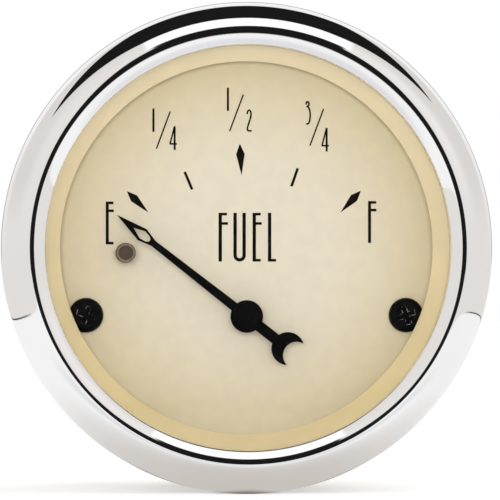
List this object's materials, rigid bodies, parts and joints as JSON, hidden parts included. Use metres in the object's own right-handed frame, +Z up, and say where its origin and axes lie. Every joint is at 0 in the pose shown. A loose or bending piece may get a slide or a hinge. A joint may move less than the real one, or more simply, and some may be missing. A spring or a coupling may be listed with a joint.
{
  "type": "fuel gauge",
  "caption": "Round panel-mounted electric fuel gauge with a chrome bezel, cream dial, swinging pointer, clamp bracket, rear terminals and lamp.",
  "frame": {"origin": "on the gauge's axis, in the plane where the rear lip of the bezel seats on the panel", "axes": "the dial faces -Y, +Y runs back along the barrel, +X is to the right as seen from the front, +Z is up"},
  "size_m": [0.058, 0.0587, 0.058],
  "materials": {
    "chrome": "bright plated",
    "glass": "clear",
    "gasket_rubber": "matt",
    "ring_plastic": "cream, matt",
    "dial_paint": "cream, matt",
    "black_screw": "black, satin",
    "pillar_brass": "turned",
    "stop_steel": "turned",
    "stop_sleeve": "smoky brown",
    "pointer_paint": "black, matt",
    "bright_steel": "ground",
    "ferrite": "sintered",
    "housing_plate": "zinc plated, dull",
    "zinc_plate": "zinc plated",
    "bobbin_plastic": "natural nylon",
    "copper_wire": "enamelled",
    "brass": "machined",
    "jewel": "polished",
    "spacer_aluminium": "turned",
    "board_laminate": "paper laminate",
    "resistor_ceramic": "lacquered",
    "bush_fibre": "vulcanised fibre",
    "holder_plastic": "moulded",
    "bulb_glass": "clear"
  },
  "bodies": {
    "case": {"bezel": "chrome", "lens": "glass", "lens_gasket": "gasket_rubber", "reflector_ring": "ring_plastic", "dial": "dial_paint", "dial_screws": "black_screw", "dial_pillars": "pillar_brass", "stop_pin": "stop_steel", "stop_sleeve": "stop_sleeve", "housing": "housing_plate", "movement_frame": "zinc_plate", "shield_can": "zinc_plate", "bobbin_front": "bobbin_plastic", "bobbin_rear": "bobbin_plastic", "inner_coil": "copper_wire", "outer_coil": "copper_wire", "front_bearing": "brass", "rear_bearing": "jewel", "return_magnet": "ferrite", "movement_screws": "zinc_plate", "mounting_studs": "zinc_plate", "frame_spacers": "spacer_aluminium", "housing_washers": "zinc_plate", "housing_nuts": "zinc_plate", "terminal_board": "board_laminate", "terminal_studs": "brass", "contact_strips": "brass", "coil_leads": "copper_wire", "calibration_resistor": "resistor_ceramic", "insulating_bushes": "bush_fibre", "ground_washer": "bright_steel", "terminal_base_nuts": "brass", "terminal_lock_washers": "bright_steel", "terminal_nuts": "brass"},
    "pointer": {"pointer": "pointer_paint", "pointer_hub": "pointer_paint", "spindle": "bright_steel", "rotor_magnet": "ferrite"},
    "clamp": {"clamp_bracket": "zinc_plate", "clamp_washers": "bright_steel"},
    "left_nut": {"left_thumb_nut": "brass"},
    "right_nut": {"right_thumb_nut": "brass"},
    "lamp": {"lamp_holder": "holder_plastic", "lamp_tabs": "brass", "lamp_bulb": "bulb_glass", "lamp_filament": "bright_steel"}
  },
  "joints": [
    {"name": "pointer_sweep", "type": "hinge", "parent": "case", "child": "pointer", "pos_m": [0, 0, -0.0081], "axis": [0, 1, 0], "range_deg": [-3, 100], "stiffness_Nm_per_rad": 0.00005},
    {"name": "bracket_slide", "type": "slide", "parent": "case", "child": "clamp", "axis": [0, 1, 0], "range_m": [-0.0025, 0.0065]},
    {"name": "left_thumb_nut_turn", "type": "hinge", "parent": "clamp", "child": "left_nut", "pos_m": [-0.016, 0.042, 0], "axis": [0, 1, 0], "range_deg": [-1140, 2950]},
    {"name": "right_thumb_nut_turn", "type": "hinge", "parent": "clamp", "child": "right_nut", "pos_m": [0.016, 0.042, 0], "axis": [0, 1, 0], "range_deg": [-1140, 2950]},
    {"name": "lamp_pull", "type": "slide", "parent": "case", "child": "lamp", "axis": [0, 1, 0], "range_m": [0, 0.024]}
  ],
  "couplings": [
    {"joint": "left_thumb_nut_turn", "follows": "bracket_slide", "rad_per_m": 7913.4},
    {"joint": "right_thumb_nut_turn", "follows": "bracket_slide", "rad_per_m": 7913.4}
  ]
}
